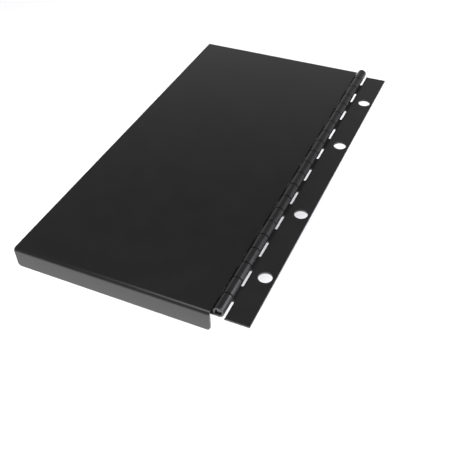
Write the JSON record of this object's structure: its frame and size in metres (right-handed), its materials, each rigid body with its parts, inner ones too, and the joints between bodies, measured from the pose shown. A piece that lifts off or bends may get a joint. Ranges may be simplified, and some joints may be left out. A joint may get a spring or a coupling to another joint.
{
  "type": "piano hinge",
  "caption": "Continuous hinge: a curled leaf under a flanged sheet-steel door panel and a drilled mounting strip, joined along one edge by a long pin.",
  "frame": {"origin": "middle of the row of screw holes, on the flat back face of the mounting strip", "axes": "+Y along the hinge pin, +Z out of the front of the closed door, +X from the hinge towards the free edge of the mounting strip, so the door panel lies towards -X"},
  "size_m": [0.1495, 0.2658, 0.0175],
  "materials": {
    "strip_coat": "satin black powder coat, fine grain",
    "leaf_coat": "satin black powder coat, slightly glossier on the rolled knuckles",
    "panel_coat": "satin black powder coat, fine grain",
    "pin_steel": "dull drawn steel"
  },
  "bodies": {
    "strip": {"mounting_strip": "strip_coat"},
    "door": {"door_panel": "panel_coat", "panel_leaf": "leaf_coat", "hinge_pin": "pin_steel"}
  },
  "joints": [
    {"name": "door_hinge", "type": "hinge", "parent": "strip", "child": "door", "pos_m": [-0.0123, 0, 0.00373], "axis": [0, 1, 0], "range_deg": [-60, 185]}
  ]
}
